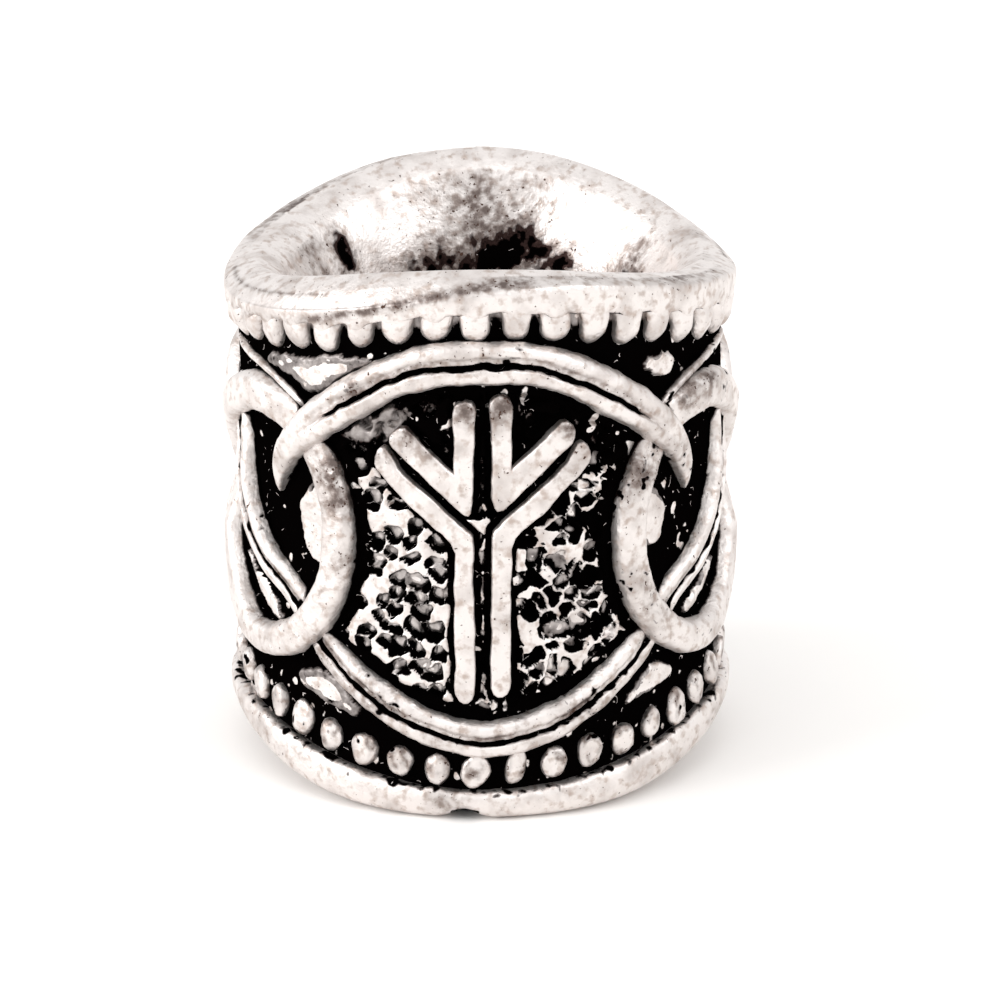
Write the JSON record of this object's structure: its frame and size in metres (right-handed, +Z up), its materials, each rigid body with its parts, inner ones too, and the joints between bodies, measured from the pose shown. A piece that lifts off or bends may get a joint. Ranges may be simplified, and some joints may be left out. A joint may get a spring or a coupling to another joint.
{
  "type": "dreadlock bead",
  "caption": "Short cast tube bead with a flared bore, smooth rims that dip at the sides, granule borders, interlaced strands, and a raised rune on its front and back.",
  "frame": {"origin": "on the bore's axis, level with the lowest points of the foot, where the bead stands", "axes": "+Z up along the bore; the front panel faces -Y and the back panel +Y; +X and -X are the sides, where the rims dip"},
  "size_m": [0.011, 0.0112, 0.0119],
  "materials": {
    "antique_silver": "silver-plated zinc casting, blackened in the recesses and tumbled bright on the raised parts"
  },
  "bodies": {
    "root": {"bead": "antique_silver"}
  },
  "joints": []
}
